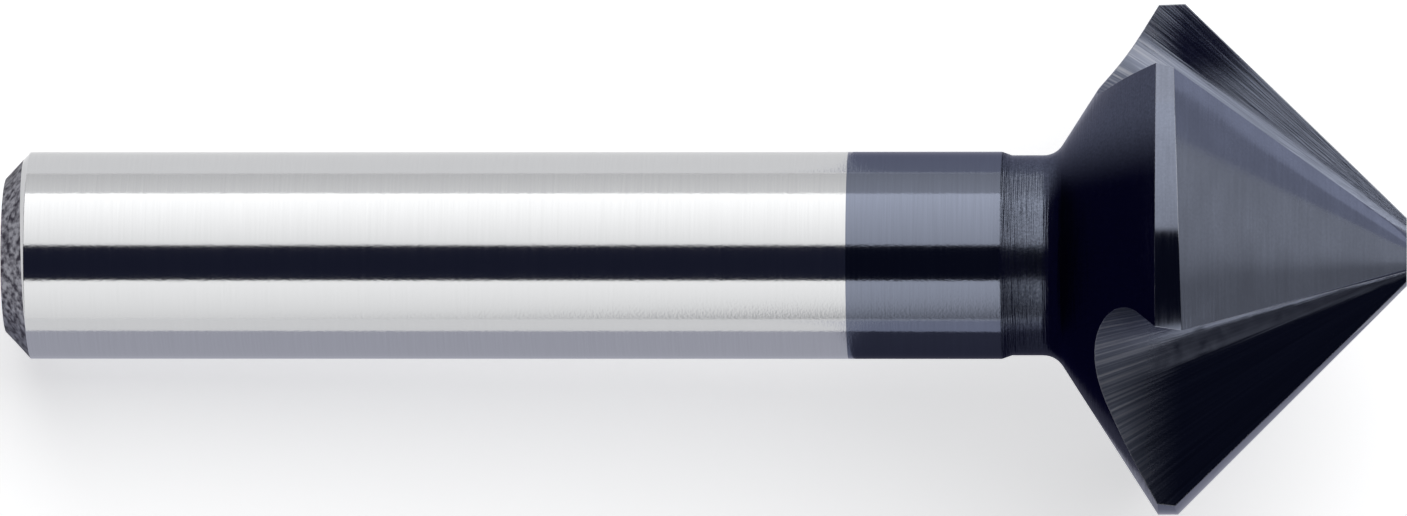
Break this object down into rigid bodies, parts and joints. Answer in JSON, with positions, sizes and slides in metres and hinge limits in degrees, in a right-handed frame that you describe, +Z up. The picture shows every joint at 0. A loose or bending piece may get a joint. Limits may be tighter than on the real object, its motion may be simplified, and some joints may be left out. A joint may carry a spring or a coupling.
{
  "type": "countersink bit",
  "caption": "Fluted conical countersink bit with a straight round shank, a cylindrical margin behind the cutting cone, and a dark wear coating on the head.",
  "frame": {"origin": "on the surface the bit lies on, at the middle of the bit's bounding box seen from above", "axes": "+X along the bit towards its point, raised 6 degrees from the surface; +Z up"},
  "size_m": [0.0678, 0.025, 0.0236],
  "materials": {
    "countersink_bit": "high speed steel, bright ground on the rear of the shank, thin blue-black hard coating on the front of the shank and the head"
  },
  "bodies": {
    "root": {"countersink_bit": "countersink_bit"}
  },
  "joints": []
}
